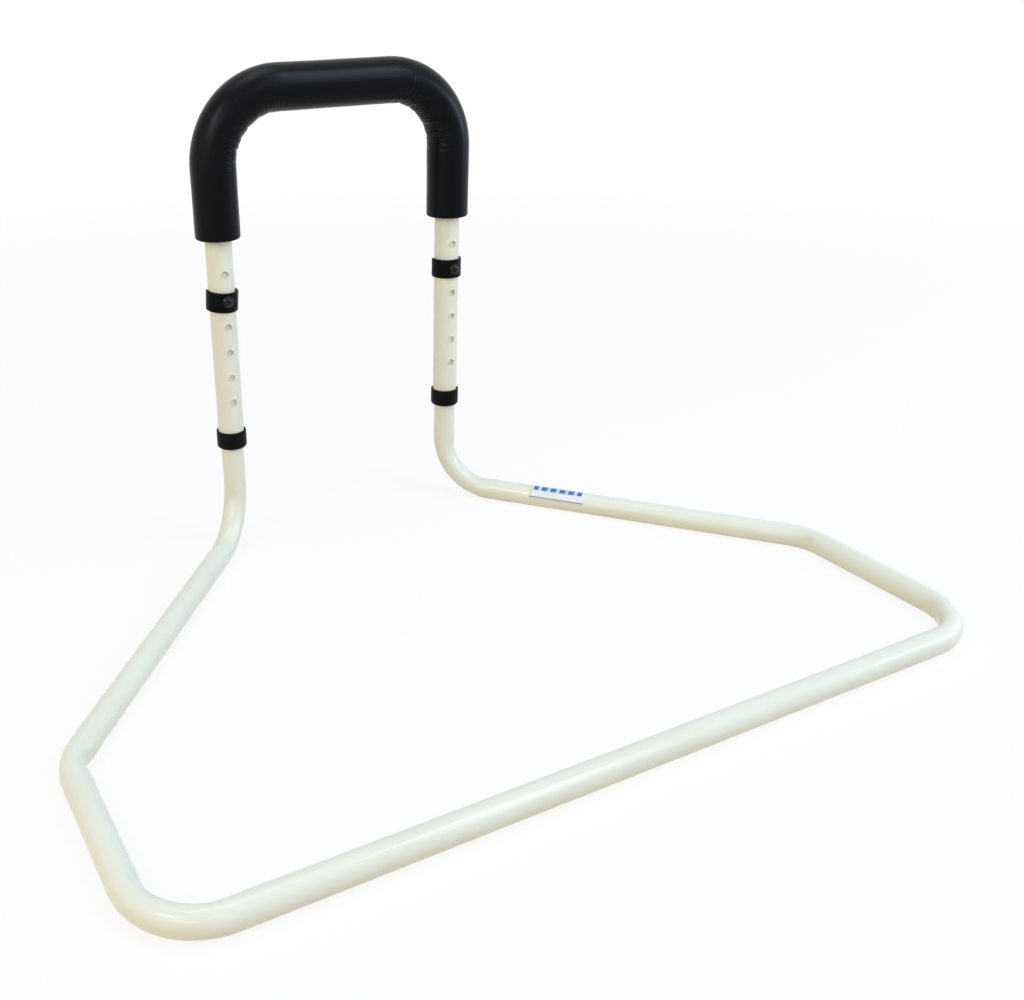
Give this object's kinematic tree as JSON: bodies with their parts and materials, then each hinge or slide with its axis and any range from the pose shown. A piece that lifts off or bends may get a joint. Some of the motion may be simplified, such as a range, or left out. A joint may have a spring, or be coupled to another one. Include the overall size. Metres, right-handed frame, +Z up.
{
  "type": "bed assist bar",
  "caption": "Bed assist bar: a bent tubular base that lies under a mattress, with a padded U-shaped handle standing at its rear, adjustable in height and locked by spring clips.",
  "frame": {"origin": "centre of the footprint, on the plane that the base rests on", "axes": "+X to the right along the front bar, +Y from the front bar towards the handle, +Z up"},
  "size_m": [0.7742, 0.5242, 0.4672],
  "materials": {
    "cream_paint": "glossy powder coat",
    "black_foam": "satin skinned foam",
    "black_plastic": "satin",
    "white_label": "printed film"
  },
  "bodies": {
    "base": {"base_frame": "cream_paint", "label": "white_label"},
    "handle": {"handle_tube": "cream_paint", "grip_sleeve": "black_foam", "left_collar": "black_plastic", "right_collar": "black_plastic"},
    "left_clip": {"left_clip": "black_plastic"},
    "right_clip": {"right_clip": "black_plastic"}
  },
  "joints": [
    {"name": "handle_height", "type": "slide", "parent": "base", "child": "handle", "axis": [0, 0, 1], "range_m": [-0.0254, 0.1016]},
    {"name": "left_clip_pull", "type": "slide", "parent": "base", "child": "left_clip", "axis": [0, -1, 0], "range_m": [0, 0.04], "deforming": ["left_clip"]},
    {"name": "right_clip_pull", "type": "slide", "parent": "base", "child": "right_clip", "axis": [0, -1, 0], "range_m": [0, 0.04], "deforming": ["right_clip"]}
  ]
}
